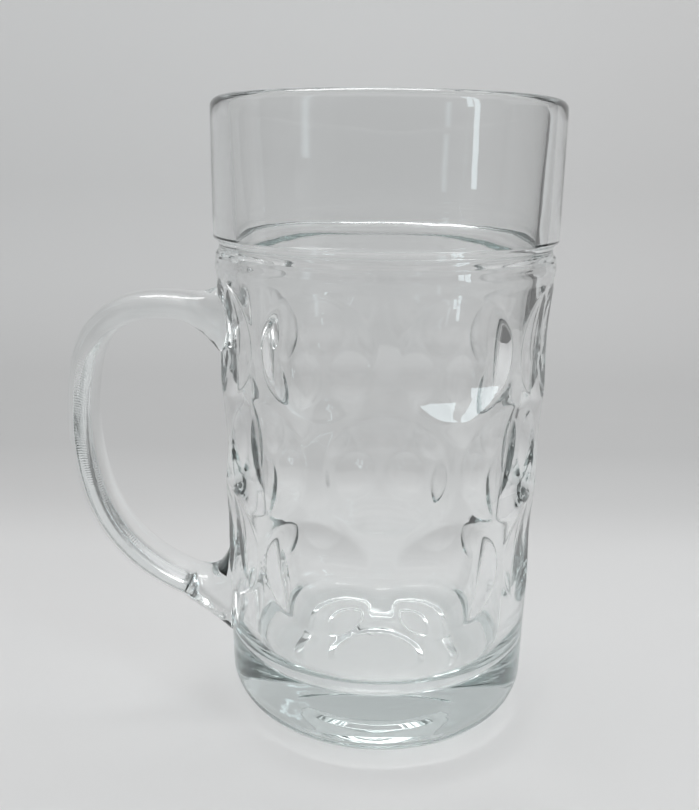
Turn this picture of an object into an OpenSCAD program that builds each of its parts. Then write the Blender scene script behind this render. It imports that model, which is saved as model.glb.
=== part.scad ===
// Dimpled glass beer mug that holds about a litre.
// The origin is on the bowl's axis, at the level the mug stands on. The handle points along -X.
// Heights are measured up from the standing level, and radii from the bowl's axis.

/* [Bowl] */
// Overall height of the mug
mug_h = 200; // [190:1:210]
// Outside diameter at the rim
rim_d = 108.8; // [107:0.2:112]
// Outside diameter just under the bead
shoulder_d = 107; // [105:0.2:107.4]
// Outside diameter where the heel starts to round in
foot_d = 100.8; // [98:0.2:104]
// Wall thickness at the rim
rim_wall = 5.9; // [5:0.1:7]
// Inside diameter of the cavity at floor level
bore_d = 85.2; // [82:0.2:87]
// Thickness of the solid base
base_t = 19; // [15:0.5:24]

/* [Heel and underside] */
// Radius that rounds the heel of the base
heel_r = 14; // [10:0.5:18]
// Radius between the cavity's wall and its floor
floor_fillet_r = 13; // [8:0.5:18]
// Depth of the dish pressed into the underside
dish_depth = 1.4; // [0.8:0.1:2.5]
// Diameter of the dish in the underside
dish_d = 62; // [50:1:68]
// Diameter of the round recess in the middle of the dish
punt_d = 30; // [20:1:36]

/* [Groove and bead] */
// Height of the groove's middle
groove_z = 156; // [154:0.5:158]
// Radius of the groove's round section
groove_r = 2.6; // [2:0.1:3]
// Depth of the groove below the smooth band
groove_depth = 1.75; // [1:0.05:2]
// Height of the bead's crown
bead_z = 150.4; // [149:0.1:151]
// How far the bead stands out from the wall
bead_rise = 0.4; // [0.2:0.1:0.8]

/* [Dimples] */
// Rows of dimples
dimple_rows = 3; // [1:1:3]
// Dimples in each row
dimples_per_row = 8; // [6:1:8]
// Height of the lowest row's middle
first_row_z = 62.2; // [60:0.2:62.6]
// Distance from one row to the next
row_pitch = 33.3; // [32:0.1:33.5]
// Height and width of a dimple on the wall
dimple_d = 36; // [30:0.5:36.5]

/* [Handle] */
// Width of the handle's section
handle_w = 18; // [15:0.5:20]
// Thickness of the handle's section
handle_t = 9.4; // [8:0.2:10.5]
// Height at which the handle's middle line starts, inside the wall
handle_z = 131; // [130:0.5:133]
// Angle at which the handle rises from the upper weld
handle_rise = 16.5; // [14:0.5:18]
// Width that the handle spreads to at its welds
weld_w = 21.5; // [19:0.5:24]
// Height of the step across the underside of the lower foot
foot_step = 0.9; // [0:0.1:1.2]

/* [Hidden] */
$fn = 96;

// Facets round the revolved outlines, round a dimple's cylinder and round the button that trims it
revolved_facets = 180;
dimple_facets = 240;
button_facets = 64;

glass_colour = [0.80, 0.87, 0.86, 0.55];
handle_colour = [0.74, 0.83, 0.82, 0.55];

rim_r = rim_d / 2;
shoulder_r = shoulder_d / 2;
foot_r = foot_d / 2;
bore_r = bore_d / 2;
rim_bore_r = rim_r - rim_wall;
lip_r = rim_wall / 2;

// How far a cutting outline runs past the face that it opens, and past the axis
over = 1;
past_axis = 30;

// The smooth band starts at the groove's upper edge, and its wall leans out a little to the rim
band_lean = 0.1;
band_r = rim_r - band_lean;
shoulder_z = 147;
groove_middle_r = band_r + groove_r - groove_depth;
bead_r = 6;
bead_spread = 3;

// Slopes of the wall outside and of the cavity's wall, per millimetre of height
wall_slope = (shoulder_r - foot_r) / (shoulder_z - heel_r);
bore_slope = (rim_bore_r - bore_r) / (mug_h - lip_r - base_t);
wall_lean = atan(wall_slope);
function wall_r(z) = foot_r + wall_slope * (z - heel_r);
function cavity_r(z) = bore_r + bore_slope * (z - base_t);

// The underside: a shallow dish with a sloping edge, and a slightly deeper round recess in its middle
dish_slope_w = 4;
dish_floor_r = dish_d / 2 - dish_slope_w;
punt_step = 0.9;
punt_slope_w = 2.4;
punt_depth = dish_depth + punt_step;

// A dimple is the hollow left by a lying cylinder: flat from side to side, and curved up and down.
// It is as deep as the round wall bulges over its width, which makes it as wide as it is high.
dimple_half = dimple_d / 2;
dimple_wall_r = wall_r(first_row_z + row_pitch);
dimple_half_angle = dimple_half / dimple_wall_r * 180 / PI;
dimple_depth = dimple_wall_r * (1 - cos(dimple_half_angle));
dimple_r = (dimple_half * dimple_half + dimple_depth * dimple_depth) / (2 * dimple_depth);
cutter_reach = 7;
cutter_margin = 0.9;
dimple_length = dimple_d + 2 * (cutter_margin + over);

// Turns about the axis between which a dimple can lie under the handle, which stands at 180
handle_side = [140, 220];

// Headings in the XZ plane are turns up from +X
out_heading = 180;
down_heading = 270;
back_heading = 360;

// The handle's middle line is a chain of arcs in the XZ plane: radius and turn of each.
// It starts and ends inside the wall, where the bowl cuts it to fit.
handle_arcs = [[400, 2], [47, 22.5], [23.4, 69], [88.4, 28], [52.2, 50], [400, 3]];
arc_rings = [4, 4, 10, 8, 11, 8];
handle_start = [-46, handle_z];
start_heading = out_heading - handle_rise;
section_sides = 28;
section_power = 0.84;

// A weld spreads the section over its reach from the wall: by grow on the loop's outside and inside.
// The higher the power, the closer to the wall the spread stays.
upper_reach = 13;
upper_grow = [4.6, 7.4];
upper_power = [2.2, 2.2];
lower_reach = 17;
lower_grow = [6.2, 14.5];
lower_power = [1.8, 3];
width_power = 2;

// The step across the underside of the lower foot
step_x = -65;
step_run = 2.2;

function arc_centre(p, h, r) = p + r * [-sin(h), cos(h)];
function arc_point(p, h, r, turn) = arc_centre(p, h, r) + r * [sin(h + turn), -cos(h + turn)];

// Where arc k starts, as [x, z, heading]
function arc_start(k) =
    k == 0 ? [handle_start[0], handle_start[1], start_heading]
    : let (s = arc_start(k - 1), a = handle_arcs[k - 1], p = arc_point([s[0], s[1]], s[2], a[0], a[1]))
        [p[0], p[1], s[2] + a[1]];

last_arc = len(handle_arcs) - 1;
handle_line = [
    for (k = [0 : last_arc])
        let (s = arc_start(k), a = handle_arcs[k], n = arc_rings[k])
            for (i = [0 : (k == last_arc ? n : n - 1)])
                let (turn = a[1] * i / n, p = arc_point([s[0], s[1]], s[2], a[0], turn))
                    [p[0], p[1], s[2] + turn]
];

function smooth(u) = u * u * (3 - 2 * u);
function clamp01(u) = min(1, max(0, u));

// The middle line heads out and then down on its upper half, and down and then back in on its lower half
function on_upper_half(p) = p[2] < down_heading;
function clear_of_wall(p) = max(0, -p[0] - wall_r(p[1]));

// How much of its weld's spread a ring takes: 0 far from the wall and 1 at it
function weld_share(p) = clamp01(1 - clear_of_wall(p) / (on_upper_half(p) ? upper_reach : lower_reach));

// Rings turn upright as they near the wall, so that the welds spread along it
function ring_heading(p) =
    let (level = on_upper_half(p) ? out_heading : back_heading)
        p[2] + smooth(weld_share(p)) * (level - p[2]);

function weld_grow(p, side) =
    on_upper_half(p) ? upper_grow[side] * pow(weld_share(p), upper_power[side])
    : lower_grow[side] * pow(weld_share(p), lower_power[side]);
function step_grow(p) =
    on_upper_half(p) ? 0 : foot_step * smooth(clamp01((p[0] - step_x) / step_run));
function grow_out(p) = weld_grow(p, 0) + step_grow(p);
function grow_in(p) = weld_grow(p, 1);
function half_width(p) = (handle_w + (weld_w - handle_w) * pow(weld_share(p), width_power)) / 2;

// One point of the section: a is the angle round it, 0 towards +Y and 90 towards the loop's inside
function power_of(v) = sign(v) * pow(abs(v), section_power);
function section_point(p, a) =
    let (
        h = ring_heading(p),
        half_t = handle_t / 2 + (sin(a) > 0 ? grow_in(p) : grow_out(p)),
        across = half_width(p) * power_of(cos(a)),
        inward = half_t * power_of(sin(a))
    )
        [p[0] - sin(h) * inward, across, p[1] + cos(h) * inward];

module revolved() {
    rotate_extrude($fn = revolved_facets) children();
}

// Half of the bowl's outline, seen from the side, before the cavity is taken out
module outer_outline() {
    heel_x = foot_r - heel_r;
    difference() {
        union() {
            square([heel_x, heel_r]);
            translate([heel_x, heel_r]) intersection() {
                circle(heel_r);
                translate([-heel_r, -heel_r]) square([2 * heel_r, heel_r]);
            }
            polygon([
                [0, heel_r],
                [foot_r, heel_r],
                [shoulder_r, shoulder_z],
                [wall_r(groove_z), groove_z],
                [0, groove_z]
            ]);
            translate([wall_r(bead_z) + bead_rise - bead_r, bead_z]) intersection() {
                circle(bead_r);
                translate([0, -bead_spread]) square([bead_r, 2 * bead_spread]);
            }
            polygon([
                [0, groove_z],
                [band_r, groove_z],
                [rim_r, mug_h - lip_r],
                [0, mug_h - lip_r]
            ]);
        }
        translate([groove_middle_r, groove_z]) circle(groove_r);
        translate([-past_axis, -over]) square([past_axis, mug_h + 2 * over]);
    }
}

// The rim is fire-polished to a full round
module lip_outline() {
    translate([rim_r - lip_r, mug_h - lip_r]) circle(lip_r);
}

module cavity_outline() {
    wall_x = cavity_r(base_t + floor_fillet_r);
    fillet_x = wall_x - floor_fillet_r;
    translate([0, base_t]) square([fillet_x, floor_fillet_r]);
    translate([fillet_x, base_t + floor_fillet_r]) intersection() {
        circle(floor_fillet_r);
        translate([0, -floor_fillet_r]) square(floor_fillet_r);
    }
    polygon([
        [0, base_t + floor_fillet_r],
        [wall_x, base_t + floor_fillet_r],
        [rim_bore_r, mug_h - lip_r],
        [rim_bore_r, mug_h + over],
        [0, mug_h + over]
    ]);
}

module underside_outline() {
    polygon([
        [0, -over],
        [dish_d / 2, -over],
        [dish_d / 2, 0],
        [dish_floor_r, dish_depth],
        [punt_d / 2 + punt_slope_w, dish_depth],
        [punt_d / 2, punt_depth],
        [0, punt_depth]
    ]);
}

// The lying cylinder that presses one dimple, leaning with the wall.
// It is trimmed to a button a little wider than the dimple, so that neighbours don't meet.
module dimple_cutter(row_z) {
    translate([wall_r(row_z) - dimple_depth, 0, row_z]) rotate([0, wall_lean, 0]) intersection() {
        translate([dimple_r, 0, 0])
            rotate([90, 0, 0])
                cylinder(r = dimple_r, h = dimple_length, center = true, $fn = dimple_facets);
        translate([-over, 0, 0])
            rotate([0, 90, 0])
                cylinder(r = dimple_half + cutter_margin, h = cutter_reach + over, $fn = button_facets);
    }
}

// Each row is turned half a step from the one below it
module dimples(from = 0, to = 360) {
    step = 360 / dimples_per_row;
    for (row = [0 : dimple_rows - 1]) {
        for (i = [0 : dimples_per_row - 1]) {
            turn = (i + (row % 2 == 0 ? 0.5 : 0)) * step;
            if (turn >= from && turn <= to)
                rotate([0, 0, turn]) dimple_cutter(first_row_z + row * row_pitch);
        }
    }
}

// The bowl's outside as a solid, with the dimples pressed in
module bowl_outside(from = 0, to = 360) {
    difference() {
        revolved() {
            outer_outline();
            lip_outline();
        }
        dimples(from, to);
    }
}

module mug_bowl() {
    color(glass_colour) difference() {
        bowl_outside();
        revolved() cavity_outline();
        revolved() underside_outline();
    }
}

// The handle's strand, swept along its middle line and spread at both welds.
// The faces are listed clockwise, as seen from outside.
module handle_strand() {
    rings = len(handle_line);
    points = [
        for (p = handle_line)
            for (j = [0 : section_sides - 1])
                section_point(p, 360 * j / section_sides)
    ];
    sides = [
        for (i = [0 : rings - 2])
            for (j = [0 : section_sides - 1])
                let (
                    a = i * section_sides + j,
                    b = i * section_sides + (j + 1) % section_sides,
                    c = a + section_sides,
                    d = b + section_sides
                )
                    each [[a, c, b], [b, c, d]]
    ];
    first_cap = [for (j = [0 : section_sides - 1]) j];
    last_cap = [for (j = [section_sides - 1 : -1 : 0]) (rings - 1) * section_sides + j];
    polyhedron(points = points, faces = concat(sides, [first_cap, last_cap]), convexity = 4);
}

// The handle ends on the bowl's own surface, dimples included
module handle() {
    color(handle_colour) difference() {
        handle_strand();
        bowl_outside(from = handle_side[0], to = handle_side[1]);
    }
}

mug_bowl();
handle();
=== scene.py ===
"""A dimpled glass beer mug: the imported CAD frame, dressed and lit for rendering."""
import math

import bmesh
import bpy
import numpy as np
from mathutils import Matrix, Vector
from mathutils.geometry import delaunay_2d_cdt


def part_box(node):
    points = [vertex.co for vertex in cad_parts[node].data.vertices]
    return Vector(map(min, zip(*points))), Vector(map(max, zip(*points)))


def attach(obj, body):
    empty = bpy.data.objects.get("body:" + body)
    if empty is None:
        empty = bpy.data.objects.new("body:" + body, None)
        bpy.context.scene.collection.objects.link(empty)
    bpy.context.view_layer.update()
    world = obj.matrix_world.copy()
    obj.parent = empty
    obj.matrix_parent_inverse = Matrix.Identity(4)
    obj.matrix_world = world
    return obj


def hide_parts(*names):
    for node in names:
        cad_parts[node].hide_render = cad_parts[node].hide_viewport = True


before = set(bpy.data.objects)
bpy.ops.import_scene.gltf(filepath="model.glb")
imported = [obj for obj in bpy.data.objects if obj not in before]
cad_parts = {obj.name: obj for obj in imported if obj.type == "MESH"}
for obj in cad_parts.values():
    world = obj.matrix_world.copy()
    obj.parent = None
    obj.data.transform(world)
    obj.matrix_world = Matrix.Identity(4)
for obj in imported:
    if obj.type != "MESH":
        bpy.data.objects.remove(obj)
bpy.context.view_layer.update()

_, bowl_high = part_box("mug_bowl")
handle_low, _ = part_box("handle")

# Lengths below are in millimetres, in the CAD frame, unless a name ends in _M
MM = 0.001

# The bowl
HEIGHT = bowl_high.z / MM
RIM_R = bowl_high.y / MM
SHOULDER_R, SHOULDER_Z = 53.5, 147.0
FOOT_R, HEEL_R = 50.4, 14.0
RIM_WALL = 5.9
BORE_R, BASE_T = 42.6, 19.0
FLOOR_FILLET_R = 13.0
DISH_R, DISH_SLOPE_W, DISH_DEPTH = 31.0, 4.0, 1.4
PUNT_R, PUNT_SLOPE_W, PUNT_DEPTH = 15.0, 2.4, 2.3
GROOVE_Z, GROOVE_R, GROOVE_DEPTH = 156.0, 2.6, 1.75
BEAD_Z, BEAD_R, BEAD_RISE = 150.4, 6.0, 0.4
LIP_R = RIM_WALL / 2
BAND_R = RIM_R - 0.1
RIM_BORE_R = RIM_R - RIM_WALL
WALL_SLOPE = (SHOULDER_R - FOOT_R) / (SHOULDER_Z - HEEL_R)
BORE_SLOPE = (RIM_BORE_R - BORE_R) / (HEIGHT - LIP_R - BASE_T)

# The dimples: three rows of eight, each row turned half a step from the next
ROW_Z = (62.2, 95.5, 128.8)
STEP_DEG = 45.0
DIMPLE_HALF = 18.0
DIMPLE_REACH = 30.0
RIDGE_SOFT = 0.4

# The handle's middle line is a chain of arcs: radius and turn of each
HANDLE_ARCS = ((400, 2), (47, 22.5), (23.4, 69), (88.4, 28), (52.2, 50), (400, 3))
HANDLE_START = (-46.0, 131.0)
HANDLE_HEADING = 163.5
HANDLE_W, HANDLE_T, WELD_W = 18.0, 9.4, 21.5
SECTION_POWER = 0.84
UPPER = dict(reach=13.0, grow=(4.6, 7.4), power=(2.2, 2.2), upright=180.0)
LOWER = dict(reach=17.0, grow=(6.2, 14.5), power=(1.8, 3.0), upright=360.0)
DOWN_HEADING = 270.0
STEP_X, STEP_RUN, STEP_H = -65.0, 2.2, 0.9
WELD_SINK = 0.2
# Fine ribs across the strand's outer side, which a cold mould leaves
RIB_PITCH, RIB_RISE = 0.85, 0.007
RIBS_LOW, RIBS_HIGH, RIBS_FADE, RIBS_WRAP = 34.0, 124.0, 12.0, 0.3


def wall_r(z):
    return FOOT_R + WALL_SLOPE * (z - HEEL_R)


def bore_r(z):
    return BORE_R + BORE_SLOPE * (z - BASE_T)


def arc(centre, r, start, end, steps):
    """Points on an arc, from one angle in degrees to another."""
    turn = np.radians(np.linspace(start, end, steps))
    return np.stack([centre[0] + r * np.cos(turn), centre[1] + r * np.sin(turn)], 1)


# The bowl's outline as radius and height, from the middle of its underside out, up, over the lip,
# and down to the middle of the cavity's floor

def bowl_outline():
    bead_turn = math.degrees(math.acos(1 - BEAD_RISE / BEAD_R))
    groove_x = BAND_R + GROOVE_R - GROOVE_DEPTH
    low_turn = math.degrees(math.acos((groove_x - wall_r(GROOVE_Z - 2)) / GROOVE_R))
    high_turn = math.degrees(math.acos((groove_x - BAND_R) / GROOVE_R))
    fillet_z = BASE_T + FLOOR_FILLET_R
    return np.vstack([
        [(0, PUNT_DEPTH), (PUNT_R, PUNT_DEPTH), (PUNT_R + PUNT_SLOPE_W, DISH_DEPTH)],
        [(DISH_R - DISH_SLOPE_W, DISH_DEPTH), (DISH_R, 0)],
        arc((FOOT_R - HEEL_R, HEEL_R), HEEL_R, -90, 0, 60),
        [(SHOULDER_R, SHOULDER_Z)],
        arc((wall_r(BEAD_Z) + BEAD_RISE - BEAD_R, BEAD_Z), BEAD_R, -bead_turn, bead_turn, 20),
        arc((groove_x, GROOVE_Z), GROOVE_R, 180 + low_turn, 180 - high_turn, 40),
        arc((RIM_R - LIP_R, HEIGHT - LIP_R), LIP_R, 0, 180, 60),
        arc((bore_r(fillet_z) - FLOOR_FILLET_R, fillet_z), FLOOR_FILLET_R, 0, -90, 60),
        [(0, BASE_T)],
    ])


def resample(points, step):
    run = np.concatenate([[0], np.cumsum(np.linalg.norm(np.diff(points, axis=0), axis=1))])
    at = np.linspace(0, run[-1], int(run[-1] / step) + 1)
    return np.stack([np.interp(at, run, points[:, k]) for k in (0, 1)], 1)


def soften(points, step=0.12, reach=0.3):
    """The outline with its corners fire-polished: each point is averaged with those within reach."""
    fine = resample(points, step)
    half = int(4 * reach / step)
    weights = np.exp(-0.5 * (np.arange(-half, half + 1) * step / reach) ** 2)
    weights /= weights.sum()
    mirrored = np.vstack([fine[half:0:-1] * (-1, 1), fine, fine[-2:-half - 2:-1] * (-1, 1)])
    return np.stack([np.convolve(mirrored[:, k], weights, "valid") for k in (0, 1)], 1)


def thin_out(points, longest=4.0, sharpest=7.0):
    """Drops points where the outline is straight, keeping the ends."""
    kept, run, turned = [points[0]], 0.0, 0.0
    for before, here, after in zip(points, points[1:], points[2:]):
        run += np.linalg.norm(here - before)
        a, b = here - before, after - here
        turned += abs(math.degrees(math.atan2(a[0] * b[1] - a[1] * b[0], a @ b)))
        if run > longest or turned > sharpest:
            kept.append(here)
            run, turned = 0.0, 0.0
    kept.append(points[-1])
    return np.array(kept)


OUTLINE = soften(bowl_outline())
LIP_AT = int(OUTLINE[:, 1].argmax())
HEEL_AT = int(np.argmax(OUTLINE[:, 0] > FOOT_R - HEEL_R + 2))
OUTER = OUTLINE[HEEL_AT:LIP_AT]
PATCH_LOW, PATCH_HIGH = 41.0, 150.4


def plain_r(z):
    """Radius of the outside without its dimples."""
    return np.interp(z, OUTER[:, 1], OUTER[:, 0])


DIMPLE_DEPTH = wall_r(ROW_Z[1]) * (1 - math.cos(DIMPLE_HALF / wall_r(ROW_Z[1])))
DIMPLE_R = (DIMPLE_HALF ** 2 + DIMPLE_DEPTH ** 2) / (2 * DIMPLE_DEPTH)


def outer_r(turn, z):
    """Radius of the bowl's outside at a turn in radians about the axis and a height, dimples included."""
    step = math.radians(STEP_DEG)
    from_even = np.abs((turn + step / 2) % step - step / 2)
    r = plain_r(z)
    for row, row_z in enumerate(ROW_Z):
        across = from_even if row % 2 else step / 2 - from_even
        up = np.clip(z - row_z, -DIMPLE_REACH, DIMPLE_REACH)
        hollow = DIMPLE_DEPTH - DIMPLE_R + np.sqrt(DIMPLE_R ** 2 - up ** 2)
        deep = wall_r(row_z) - (wall_r(row_z) - hollow) / np.cos(across)
        soft = (deep + RIDGE_SOFT) ** 2 / (4 * RIDGE_SOFT)
        r = r - np.where(deep > RIDGE_SOFT, deep, np.where(deep < -RIDGE_SOFT, 0, soft))
    return r


# The dimpled part of the wall repeats sixteen times, every other time mirrored. One repeat is a strip from
# a turn of 0 to half a step, laid flat: points lie on rings round the three half dimples, then in the web.

HALF_STEP = math.radians(STEP_DEG / 2)
STRIP_W = HALF_STEP * wall_r(ROW_Z[1])
REPEATS = 16
COLUMNS = 24
# Rings lie closer from just inside a dimple's ridge to just outside it
RING_RADII = np.concatenate([np.arange(1.5, 15.8, 1.45), [16.5, 17.05, 17.45, 17.8, 18.15, 18.55, 19.0]])
RIDGE_FROM_R, RIDGE_STEP, HOLLOW_STEP = 16.0, 0.95, 1.4
WEB_FROM_R, WEB_STEP, WEB_CLOSEST = 19.6, 1.1, 0.7


def strip_points():
    points = [(0.0, PATCH_LOW), (STRIP_W, PATCH_LOW), (0.0, PATCH_HIGH), (STRIP_W, PATCH_HIGH)]
    for k in range(1, COLUMNS):
        points += [(STRIP_W * k / COLUMNS, z) for z in (PATCH_LOW, PATCH_HIGH)]
    centres = [(STRIP_W if row % 2 == 0 else 0.0, z) for row, z in enumerate(ROW_Z)]
    for cx, cz in centres:
        points.append((cx, cz))
        for r in RING_RADII:
            parts = max(4, round(math.pi * r / (RIDGE_STEP if r > RIDGE_FROM_R else HOLLOW_STEP)))
            for k in range(parts + 1):
                turn = math.pi * (k / parts - 0.5)
                side = -1 if cx else 1
                x = cx if k in (0, parts) else cx + side * r * math.cos(turn)
                points.append((x, cz + r * math.sin(turn)))
    done = np.array(points)
    rows = int((PATCH_HIGH - PATCH_LOW) / WEB_STEP)
    for i in range(1, rows):
        z = PATCH_LOW + (PATCH_HIGH - PATCH_LOW) * i / rows
        shift = 0.5 if i % 2 else 0.0
        for k in range(COLUMNS // 2 + 3):
            x = min(max((k - shift) * STRIP_W / (COLUMNS / 2 + 1), 0.0), STRIP_W)
            clear = min(math.hypot(x - cx, z - cz) for cx, cz in centres)
            if clear > WEB_FROM_R and np.hypot(done[:, 0] - x, done[:, 1] - z).min() > WEB_CLOSEST:
                done = np.vstack([done, (x, z)])
    return done


def strip_mesh():
    """The strip's points and triangles."""
    flat = [Vector(p) for p in strip_points()]
    points, _, faces, _, _, _ = delaunay_2d_cdt(flat, [], [], 0, 1e-5)
    return np.array([tuple(p) for p in points]), [tuple(f) for f in faces]


def on_wall(x, z, r):
    return np.stack([r * np.cos(x), r * np.sin(x), z], 1) * MM


def ripple(points):
    """How far hot glass has drawn in at each point: a few long waves, the same on every run."""
    x, y, z = (points / MM).T
    turn = np.arctan2(y, x)
    return 0.020 * np.sin(3 * turn + 0.045 * z + 0.6) + 0.014 * np.sin(5 * turn - 0.11 * z) \
        + 0.012 * np.sin(0.21 * z + 2 * turn + 1.1)


def new_object(name, bm):
    mesh = bpy.data.meshes.new(name)
    bm.to_mesh(mesh)
    bm.free()
    mesh.shade_smooth()
    piece = bpy.data.objects.new(name, mesh)
    bpy.context.scene.collection.objects.link(piece)
    return piece


def coordinates(mesh):
    flat = np.empty(len(mesh.vertices) * 3)
    mesh.vertices.foreach_get("co", flat)
    return flat.reshape(-1, 3)


MERGE_M = 2e-6
# Points of the outline that are left out next to the dimpled part's edges
SPARE = 3
# The surface is drawn in fully from this height up
STILL_H = 3.0


def revolve(bm, rows):
    """Adds the surface that an outline of radius and height sweeps round the axis."""
    around = np.arange(REPEATS * COLUMNS) * 2 * math.pi / (REPEATS * COLUMNS)
    loops = []
    for r, z in rows:
        if r < 1e-6:
            loops.append([bm.verts.new((0, 0, z * MM))])
        else:
            ring = on_wall(around, np.full_like(around, z), r)
            loops.append([bm.verts.new(p) for p in ring])
    for a, b in zip(loops, loops[1:]):
        for k in range(len(around)):
            n = (k + 1) % len(around)
            corners = [a[k % len(a)], a[n % len(a)], b[n % len(b)], b[k % len(b)]]
            bm.faces.new(dict.fromkeys(corners))


def add_plain_parts(bm):
    """Adds what lies under and over the dimpled part, the lip and the cavity included."""
    top_at = HEEL_AT + int(np.argmax(OUTER[:, 1] > PATCH_HIGH))
    foot_at = HEEL_AT + int(np.argmax(OUTER[:, 1] > PATCH_LOW))
    foot = [(plain_r(PATCH_LOW), PATCH_LOW)]
    head = [(plain_r(PATCH_HIGH), PATCH_HIGH)]
    under = thin_out(OUTLINE[:foot_at - SPARE])
    over = thin_out(OUTLINE[top_at + SPARE:])
    under[0, 0] = 0
    over[-1, 0] = 0
    revolve(bm, np.vstack([under, foot]))
    revolve(bm, np.vstack([head, over]))


def add_dimpled_part(bm):
    flat, triangles = strip_mesh()
    turns = flat[:, 0] / STRIP_W * HALF_STEP
    radii = outer_r(turns, flat[:, 1])
    for k in range(REPEATS):
        side = 1 if k % 2 == 0 else -1
        start = 2 * HALF_STEP * ((k + 1) // 2)
        verts = [bm.verts.new(p) for p in on_wall(start + side * turns, flat[:, 1], radii)]
        for a, b, c in triangles:
            bm.faces.new((verts[a], verts[b], verts[c]))


def draw_in(mesh):
    """Moves the surface in by the ripple, and leaves the standing ring where it is."""
    co = coordinates(mesh)
    normals = np.array([v.normal for v in mesh.vertices])
    share = np.clip(co[:, 2:] / MM / STILL_H, 0, 1)
    moved = co - normals * (np.abs(ripple(co))[:, None] * share) * MM
    mesh.vertices.foreach_set("co", moved.ravel())


def make_bowl():
    bm = bmesh.new()
    add_plain_parts(bm)
    add_dimpled_part(bm)
    bmesh.ops.remove_doubles(bm, verts=bm.verts, dist=MERGE_M)
    bmesh.ops.recalc_face_normals(bm, faces=bm.faces)
    bowl = new_object("glass_bowl", bm)
    draw_in(bowl.data)
    return bowl


# The handle: a strand swept along its middle line, spread and turned upright at both welds

def middle_line(step=0.4):
    """Points (x, z, heading) along the handle's middle line."""
    x, z = HANDLE_START
    heading, line = HANDLE_HEADING, []
    for r, turn in HANDLE_ARCS:
        parts = int(math.radians(turn) * r / step)
        h0 = math.radians(heading)
        cx, cz = x - r * math.sin(h0), z + r * math.cos(h0)
        for k in range(parts):
            h = h0 + math.radians(turn) * k / parts
            line.append((cx + r * math.sin(h), cz - r * math.cos(h), math.degrees(h)))
        heading += turn
        h = math.radians(heading)
        x, z = cx + r * math.sin(h), cz - r * math.cos(h)
    return np.array(line + [(x, z, heading)])


def ease(u):
    u = np.clip(u, 0, 1)
    return u * u * (3 - 2 * u)


def strand_rings(sides):
    """Points of every fine ring of the strand: an array of rings, sides and x, y, z."""
    line = middle_line()
    x, z, heading = line.T
    clear = np.maximum(0, -x - wall_r(z))
    turn = 2 * math.pi * np.arange(sides) / sides
    inner = np.sin(turn) > 0
    rings = np.empty((len(line), sides, 3))
    for k in range(len(line)):
        weld = UPPER if heading[k] < DOWN_HEADING else LOWER
        share = min(1.0, max(0.0, 1 - clear[k] / weld["reach"]))
        h = math.radians(heading[k] + ease(share) * (weld["upright"] - heading[k]))
        grow = [g * share ** p for g, p in zip(weld["grow"], weld["power"])]
        if weld is LOWER:
            grow[0] += STEP_H * ease((x[k] - STEP_X) / STEP_RUN)
        half_t = HANDLE_T / 2 + np.where(inner, grow[1], grow[0])
        half_w = (HANDLE_W + (WELD_W - HANDLE_W) * share ** 2) / 2
        across = half_w * np.sign(np.cos(turn)) * np.abs(np.cos(turn)) ** SECTION_POWER
        inward = half_t * np.sign(np.sin(turn)) * np.abs(np.sin(turn)) ** SECTION_POWER
        rings[k, :, 0] = x[k] - math.sin(h) * inward
        rings[k, :, 1] = across
        rings[k, :, 2] = z[k] + math.cos(h) * inward
    return rings


def above_bowl(points):
    """How far points lie outside the bowl, along the radius."""
    x, y, z = np.moveaxis(points, -1, 0)
    return np.hypot(x, y) - outer_r(np.arctan2(y, x), z)


def crossing(track, depth):
    """Where a track that starts in the bowl comes out of it, as a ring number with a fraction."""
    height = above_bowl(track) + depth
    first = int(np.argmax(height > 0))
    return first - 1 + height[first - 1] / (height[first - 1] - height[first])


def track_at(track, at):
    index = np.arange(len(track))
    return np.stack([np.interp(at, index, track[:, k]) for k in range(3)], 1)


HANDLE_SIDES, HANDLE_RINGS = 72, 190


def trimmed_rings():
    """The strand's rings, from just under the bowl's surface to just under it, and both weld outlines."""
    fine = strand_rings(HANDLE_SIDES)
    share = np.linspace(0, 1, HANDLE_RINGS)
    rings = np.empty((HANDLE_RINGS, HANDLE_SIDES, 3))
    welds = np.empty((2, HANDLE_SIDES, 3))
    last = len(fine) - 1
    for j in range(HANDLE_SIDES):
        track = fine[:, j]
        first, end = crossing(track, WELD_SINK), last - crossing(track[::-1], WELD_SINK)
        rings[:, j] = track_at(track, first + (end - first) * share)
        edges = [crossing(track, 0.0), last - crossing(track[::-1], 0.0)]
        welds[:, j] = track_at(track, edges)
    return rings, welds


def make_handle():
    """The handle's object and the outlines of its two welds on the bowl."""
    rings, welds = trimmed_rings()
    bm = bmesh.new()
    loops = [[bm.verts.new(p * MM) for p in ring] for ring in rings]
    for a, b in zip(loops, loops[1:]):
        for j in range(HANDLE_SIDES):
            n = (j + 1) % HANDLE_SIDES
            bm.faces.new((a[j], a[n], b[n], b[j]))
    for loop, ring in ((loops[0], rings[0]), (loops[-1], rings[-1])):
        close_on_bowl(bm, loop, ring)
    for vert in bm.verts:
        vert.co.x = max(vert.co.x, handle_low.x)
    bmesh.ops.recalc_face_normals(bm, faces=bm.faces)
    handle = new_object("glass_handle", bm)
    mark_ribs(handle, rings)
    return handle, welds


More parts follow.
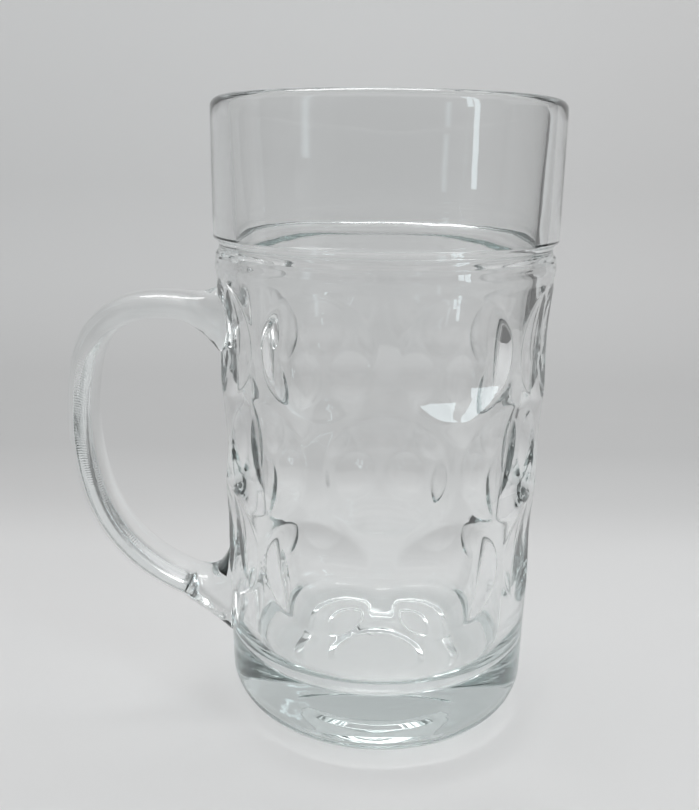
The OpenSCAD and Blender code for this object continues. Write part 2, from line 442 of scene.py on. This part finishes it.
def mark_ribs(handle, rings):
    """Gives each vertex its distance along the strand and how strongly it is ribbed."""
    middle = rings.mean(axis=1)
    run = np.concatenate([[0], np.cumsum(np.linalg.norm(np.diff(middle, axis=0), axis=1))])
    outward = -np.sin(2 * math.pi * np.arange(HANDLE_SIDES) / HANDLE_SIDES)
    height = middle[:, 2]
    there = ease((height - RIBS_LOW) / RIBS_FADE) * ease((RIBS_HIGH - height) / RIBS_FADE)
    along, ribbed = np.zeros((2, len(handle.data.vertices)))
    on_rings = HANDLE_RINGS * HANDLE_SIDES
    along[:on_rings] = np.repeat(run, HANDLE_SIDES)
    ribbed[:on_rings] = (there[:, None] * ease(outward + RIBS_WRAP)).ravel()
    store(handle.data, "along", along)
    store(handle.data, "ribbed", ribbed)


def close_on_bowl(bm, loop, ring, steps=7):
    """Closes an end with a cap that follows the bowl's surface, just under it."""
    turn, z = np.arctan2(ring[:, 1], -ring[:, 0]), ring[:, 2]
    mid_z = (z.max() + z.min()) / 2
    outer = loop
    for k in range(1, steps + 1):
        left = 1 - k / steps
        t, h = turn * left, mid_z + (z - mid_z) * left
        r = outer_r(math.pi + t, h) - WELD_SINK
        if k == steps:
            tip = bm.verts.new((-r[0] * MM, 0, h[0] * MM))
            for j in range(len(outer)):
                bm.faces.new((outer[j], outer[(j + 1) % len(outer)], tip))
        else:
            inner = [bm.verts.new(p) for p in on_wall(math.pi - t, h, r)]
            for j in range(len(outer)):
                n = (j + 1) % len(outer)
                bm.faces.new((outer[j], outer[n], inner[n], inner[j]))
            outer = inner


def outline_distance(points, outline):
    """Distance of flat points from a closed outline, negative inside it."""
    a, b = outline, np.roll(outline, -1, axis=0)
    best = np.full(len(points), np.inf)
    inside = np.zeros(len(points), bool)
    for p, q in zip(a, b):
        d = q - p
        t = np.clip(((points - p) @ d) / (d @ d), 0, 1)
        best = np.minimum(best, np.linalg.norm(points - p - t[:, None] * d, axis=1))
        if p[1] != q[1]:
            crosses = (p[1] > points[:, 1]) != (q[1] > points[:, 1])
            inside ^= crosses & (points[:, 0] < d[0] * (points[:, 1] - p[1]) / d[1] + p[0])
    return np.where(inside, -best, best)


def flat_on_wall(points):
    """Points near the handle's side of the wall as distance round it and height."""
    turn = np.arctan2(points[:, 1], -points[:, 0])
    return np.stack([turn * wall_r(ROW_Z[1]), points[:, 2]], 1)


MARKED_FROM_R = BORE_R + 6
MARK_LIMIT = 5.0


def mark_welds(bowl, handle, welds):
    """Gives each vertex of both pieces its distance from the other piece's glass, negative within it."""
    flat = flat_on_wall(coordinates(bowl.data) / MM)
    outside = np.linalg.norm(coordinates(bowl.data)[:, :2], axis=1) / MM > MARKED_FROM_R
    distance = np.minimum(*(outline_distance(flat, flat_on_wall(w)) for w in welds))
    store(bowl.data, "clear_of_weld", limited(np.where(outside, distance, 1.0)))
    store(handle.data, "clear_of_weld", limited(above_bowl(coordinates(handle.data) / MM)))


def limited(values):
    return np.clip(values, -MARK_LIMIT, MARK_LIMIT)


def store(mesh, name, values):
    attribute = mesh.attributes.new(name, "FLOAT", "POINT")
    attribute.data.foreach_set("value", values.astype(np.float32))


# Materials

class Nodes:
    """Short calls for building a node tree."""

    def __init__(self, owner):
        owner.use_nodes = True
        self.tree = owner.node_tree
        self.tree.nodes.clear()

    def add(self, kind, inputs=None, **settings):
        node = self.tree.nodes.new(kind)
        for name, value in settings.items():
            setattr(node, name, value)
        for name, value in (inputs or {}).items():
            socket = node.inputs[name]
            if isinstance(value, bpy.types.NodeSocket):
                self.tree.links.new(value, socket)
            else:
                socket.default_value = value
        return node


IOR = 1.52
ABSORB, ABSORB_DENSITY = (0.47, 0.61, 0.60), 5.2
# Waves of the surface: scale, and height in metres
BOWL_WAVES = ((55.0, 5.0e-5), (210.0, 6.0e-6))
HANDLE_WAVES = ((60.0, 5.0e-5), (320.0, 4.0e-6))
# How the ribs wander: scale, and turn in radians
RIB_WANDER = (120.0, 8.0)


def glass_material(name, bumps):
    """Clear pressed glass. Where a piece runs into the other piece's glass, its surface isn't there."""
    material = bpy.data.materials.new(name)
    n = Nodes(material)
    place = n.add("ShaderNodeTexCoord").outputs["Object"]
    height = bumps(n, place)
    bump = n.add("ShaderNodeBump", {"Height": height, "Strength": 1.0, "Distance": 1.0})
    glass = n.add("ShaderNodeBsdfPrincipled", {
        "Base Color": (1, 1, 1, 1), "Roughness": 0.0, "IOR": IOR,
        "Transmission Weight": 1.0, "Normal": bump.outputs["Normal"],
    })
    weld = n.add("ShaderNodeAttribute", attribute_name="clear_of_weld").outputs["Fac"]
    within = math_node(n, "LESS_THAN", weld, 0.0)
    clear = n.add("ShaderNodeBsdfTransparent")
    surface = n.add("ShaderNodeMixShader", {0: within, 1: glass.outputs[0], 2: clear.outputs[0]})
    inside = n.add("ShaderNodeVolumeAbsorption", {"Color": (*ABSORB, 1), "Density": ABSORB_DENSITY})
    n.add("ShaderNodeOutputMaterial", {"Surface": surface.outputs[0], "Volume": inside.outputs[0]})
    return material


def math_node(n, operation, *values):
    inputs = dict(enumerate(values))
    return n.add("ShaderNodeMath", inputs, operation=operation).outputs[0]


def waves(n, place, scale, amount):
    noise = n.add("ShaderNodeTexNoise", {"Vector": place, "Scale": scale, "Detail": 2.0})
    return math_node(n, "MULTIPLY", math_node(n, "SUBTRACT", noise.outputs["Fac"], 0.5), amount)


def total(n, *values):
    out = values[0]
    for value in values[1:]:
        out = math_node(n, "ADD", out, value)
    return out


def bowl_bumps(n, place):
    """Orange peel of pressed glass, in metres: long soft waves and a finer one."""
    return total(n, *(waves(n, place, *wave) for wave in BOWL_WAVES))


def handle_bumps(n, place):
    """Orange peel, and the fine ribs."""
    along = n.add("ShaderNodeAttribute", attribute_name="along").outputs["Fac"]
    ribbed = n.add("ShaderNodeAttribute", attribute_name="ribbed").outputs["Fac"]
    turn = math_node(n, "MULTIPLY", along, 2 * math.pi / RIB_PITCH)
    rib = math_node(n, "SINE", total(n, turn, waves(n, place, *RIB_WANDER)))
    ribs = math_node(n, "MULTIPLY", math_node(n, "MULTIPLY", rib, ribbed), RIB_RISE * MM)
    return total(n, *(waves(n, place, *wave) for wave in HANDLE_WAVES), ribs)


bowl = make_bowl()
handle, welds = make_handle()
mark_welds(bowl, handle, welds)
bowl.data.materials.append(glass_material("bowl_glass", bowl_bumps))
handle.data.materials.append(glass_material("handle_glass", handle_bumps))
for piece, node, slot in ((bowl, "mug_bowl", "bowl_glass"), (handle, "handle", "handle_glass")):
    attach(piece, "root")
    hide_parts(node)


# The camera stands where the photograph was taken from, as fitted to the mug's outline

PHOTO_H_PX = 810
FOCAL_PX = 929.7
CAMERA_D, CAMERA_Z = 300.0, 182.0
CAMERA_TURN = 1.5
PITCH, YAW, ROLL = 14.754, -2.034, 0.775


def make_camera():
    data = bpy.data.cameras.new("camera")
    data.sensor_width = 36.0
    data.lens = FOCAL_PX / PHOTO_H_PX * data.sensor_width
    data.clip_start, data.clip_end = 0.01, 50
    camera = bpy.data.objects.new("camera", data)
    bpy.context.scene.collection.objects.link(camera)
    toward_mug = math.radians(CAMERA_TURN)
    turned = toward_mug + math.radians(YAW)
    pitch, roll = math.radians(PITCH), math.radians(ROLL)
    ahead = Vector((math.sin(turned), math.cos(turned), 0))
    right = Vector((math.cos(turned), -math.sin(turned), 0))
    back = -(ahead * math.cos(pitch) - Vector((0, 0, 1)) * math.sin(pitch))
    up = ahead * math.sin(pitch) + Vector((0, 0, 1)) * math.cos(pitch)
    right, up = right * math.cos(roll) + up * math.sin(roll), up * math.cos(roll) - right * math.sin(roll)
    place = Vector((-math.sin(toward_mug) * CAMERA_D, -math.cos(toward_mug) * CAMERA_D, CAMERA_Z)) * MM
    camera.matrix_world = Matrix((
        (right.x, up.x, back.x, place.x),
        (right.y, up.y, back.y, place.y),
        (right.z, up.z, back.z, place.z),
        (0, 0, 0, 1),
    ))
    bpy.context.scene.camera = camera


make_camera()


# The studio, in metres: a pale sweep, soft lamps and a grey room

def ramp(n, value, stops, low, high):
    """A grey ramp over a value between low and high. stops are (value, grey)."""
    share = n.add("ShaderNodeMapRange", {"Value": value, "From Min": low, "From Max": high})
    node = n.add("ShaderNodeValToRGB", {"Fac": share.outputs[0]})
    points = node.color_ramp.elements
    points.remove(points[1])
    for k, (at, grey) in enumerate(stops):
        point = points.new((at - low) / (high - low)) if k else points[0]
        point.position = (at - low) / (high - low)
        point.color = (grey, grey, grey, 1)
    return node.outputs["Color"]


SWEEP_Y, SWEEP_R, SWEEP_TOP, SWEEP_PARTS = 0.36, 0.16, 1.3, 24
FLOOR_FRONT, FLOOR_HALF_W, FLOOR_DROP = -2.4, 2.4, 1e-4
WALL_LEFT, WALL_RIGHT = -1.1, 0.72
# Painted shade on the paper over its run, how far back and then up a point lies: dark far in front, darker
# behind the mug where the sweep begins, brightest at the top
PAPER_SHADE = (
    (FLOOR_FRONT, 0.12), (-0.9, 0.30), (-0.45, 0.66), (-0.12, 0.77), (0.06, 0.785), (0.12, 0.765),
    (0.18, 0.66), (0.28, 0.585), (0.44, 0.59), (0.58, 0.70), (0.67, 0.74), (0.81, 0.80), (SWEEP_TOP, 0.90),
)
# The share of the paper's grey that shows whatever the light, and the painted light that brightens it per
# metre to the right
PAPER_GLOW, PAPER_LIGHT_TO_RIGHT = 0.40, 0.16


def paper_material():
    material = bpy.data.materials.new("paper")
    n = Nodes(material)
    place = n.add("ShaderNodeSeparateXYZ", {0: n.add("ShaderNodeNewGeometry").outputs["Position"]}).outputs
    # The paper's grey is painted shade that changes over its run
    shade = ramp(n, math_node(n, "ADD", place["Y"], place["Z"]), PAPER_SHADE, FLOOR_FRONT, SWEEP_TOP)
    # Painted light: the paper's grey grows brighter towards the right
    slope = math_node(n, "MULTIPLY_ADD", place["X"], PAPER_LIGHT_TO_RIGHT, 1.0)
    leaning = n.add("ShaderNodeVectorMath", {0: shade, "Scale": slope}, operation="SCALE").outputs[0]
    paper = n.add("ShaderNodeBsdfDiffuse", {"Color": leaning})
    lit = n.add("ShaderNodeEmission", {"Color": leaning})
    path = n.add("ShaderNodeLightPath").outputs
    direct = math_node(n, "MAXIMUM", path["Is Camera Ray"], path["Is Glossy Ray"])
    seen = math_node(n, "MAXIMUM", direct, path["Is Transmission Ray"])
    share = math_node(n, "MULTIPLY", seen, PAPER_GLOW)
    mixed = n.add("ShaderNodeMixShader", {0: share, 1: paper.outputs[0], 2: lit.outputs[0]})
    n.add("ShaderNodeOutputMaterial", {"Surface": mixed.outputs[0]})
    return material


def make_sweep():
    """A paper sweep: flat under the mug, curving up behind it."""
    bm = bmesh.new()
    side = [(SWEEP_Y, 0.0)]
    for k in range(1, SWEEP_PARTS + 1):
        turn = math.pi / 2 * k / SWEEP_PARTS
        side.append((SWEEP_Y + SWEEP_R * math.sin(turn), SWEEP_R * (1 - math.cos(turn))))
    side.append((SWEEP_Y + SWEEP_R, SWEEP_TOP))
    lines = [[bm.verts.new((x, y, z - FLOOR_DROP)) for x in (WALL_LEFT, WALL_RIGHT)] for y, z in side]
    for a, b in zip(lines, lines[1:]):
        bm.faces.new((a[0], a[1], b[1], b[0]))
    front = [bm.verts.new((x, FLOOR_FRONT, -FLOOR_DROP)) for x in (-FLOOR_HALF_W, FLOOR_HALF_W)]
    corners = [bm.verts.new((x, SWEEP_Y, -FLOOR_DROP)) for x in (FLOOR_HALF_W, -FLOOR_HALF_W)]
    bm.faces.new((front[0], front[1], corners[0], lines[0][1], lines[0][0], corners[1]))
    sweep = new_object("sweep", bm)
    sweep.data.materials.append(paper_material())


def panel_material(name, grey, tint, half_w, soft):
    material = bpy.data.materials.new(name)
    n = Nodes(material)
    face = n.add("ShaderNodeEmission", {"Color": (*tint, 1), "Strength": grey})
    if soft:
        place = n.add("ShaderNodeTexCoord").outputs["Object"]
        across = n.add("ShaderNodeSeparateXYZ", {0: place}).outputs["X"]
        share = n.add("ShaderNodeMapRange", {
            "Value": math_node(n, "ABSOLUTE", across),
            "From Min": 0.0, "From Max": half_w, "To Min": 1.0, "To Max": 0.0,
        }, interpolation_type="SMOOTHSTEP")
        nothing = n.add("ShaderNodeBsdfTransparent")
        face = n.add("ShaderNodeMixShader", {0: share.outputs[0], 1: nothing.outputs[0], 2: face.outputs[0]})
    n.add("ShaderNodeOutputMaterial", {"Surface": face.outputs[0]})
    return material


def make_panel(name, centre, target, size, grey, tint=(1, 1, 1), soft=False):
    """A glowing or dark panel that faces a point. A soft one fades to nothing at its upright edges."""
    bm = bmesh.new()
    w, h = size[0] / 2, size[1] / 2
    bm.faces.new([bm.verts.new(p) for p in ((-w, -h, 0), (w, -h, 0), (w, h, 0), (-w, h, 0))])
    panel = new_object(name, bm)
    away = Vector(centre) - Vector(target)
    panel.rotation_mode = "QUATERNION"
    panel.rotation_quaternion = (-away).to_track_quat("Z", "Y")
    panel.location = centre
    panel.visible_camera = False
    panel.data.materials.append(panel_material(name, grey, tint, w, soft))
    return panel


# The room's grey over a direction's X, its ceiling's grey, and the directions' Z between the two
ROOM = ((-1.0, 0.30), (-0.7, 0.16), (0.0, 0.10), (0.6, 0.10), (0.85, 0.28), (1.0, 0.28))
CEILING = (0.80, 0.80, 0.80, 1)
ROOM_TO_Z, CEILING_FROM_Z = 0.16, 0.70


def make_world():
    """A grey room, darkest in front, under a pale ceiling."""
    world = bpy.data.worlds.new("room")
    bpy.context.scene.world = world
    n = Nodes(world)
    way = n.add("ShaderNodeSeparateXYZ", {0: n.add("ShaderNodeTexCoord").outputs["Generated"]})
    sides = ramp(n, way.outputs["X"], ROOM, -1, 1)
    limits = {"From Min": ROOM_TO_Z, "From Max": CEILING_FROM_Z}
    above = n.add("ShaderNodeMapRange", {"Value": way.outputs["Z"], **limits})
    room = n.add("ShaderNodeMix", {0: above.outputs[0], 6: sides, 7: CEILING}, data_type="RGBA")
    sky = n.add("ShaderNodeBackground", {"Color": room.outputs[2], "Strength": 1.0})
    n.add("ShaderNodeOutputWorld", {"Surface": sky.outputs[0]})


WINDOW_AWAY = 2.0
DAYLIGHT, WINDOW_GLOW, WINDOW_W = (0.82, 0.96, 1.0), 6.1, 0.135
MUG_MIDDLE = (0, 0, 0.15)


def make_window(name, turn, low, high, width, grey, soft=False):
    """An upright pane at a turn in degrees from the front, to the right."""
    turn, middle = math.radians(turn), (low + high) / 2
    place = (WINDOW_AWAY * math.sin(turn), -WINDOW_AWAY * math.cos(turn), middle)
    make_panel(name, place, (0, 0, middle), (width, high - low), grey, DAYLIGHT, soft)


make_sweep()
make_world()
make_window("window", 52.6, 0.125, 1.60, WINDOW_W, WINDOW_GLOW)
make_window("window_side", 47.9, 0.315, 1.60, WINDOW_W, WINDOW_GLOW)
make_window("window_left", -51.7, 0.170, 1.30, 0.340, 2.4, soft=True)

# Grey flags: one keeps the windows out of the wall behind the cavity, one darkens the right edge
make_panel("flag_back", (0.115, -0.074, 0.195), (0, 0, 0.195), (0.040, 0.10), 0.22)
make_panel("flag_right", (0.66, 0.12, 0.30), (0.05, 0.0, 0.12), (0.60, 0.62), 0.15)

# The lamp overhead lights the paper, and the card next to it is what the glass mirrors
overhead = make_panel("overhead", (-0.05, 0.42, 1.10), MUG_MIDDLE, (1.1, 0.16), 4.7)
overhead.visible_glossy = False
overhead.visible_transmission = False
card = make_panel("overhead_card", (-0.12, 0.43, 1.14), MUG_MIDDLE, (0.70, 0.34), 7.0)
card.visible_diffuse = False

scene = bpy.context.scene
scene.view_settings.view_transform = "Standard"
scene.cycles.max_bounces = 32
scene.cycles.transmission_bounces = 32
scene.cycles.transparent_max_bounces = 32
scene.cycles.glossy_bounces = 12
scene.cycles.diffuse_bounces = 3
scene.cycles.volume_bounces = 0
scene.cycles.caustics_reflective = True
scene.cycles.caustics_refractive = True
scene.cycles.blur_glossy = 0.0
scene.cycles.sample_clamp_indirect = 8.0
scene.cycles.use_denoising = True
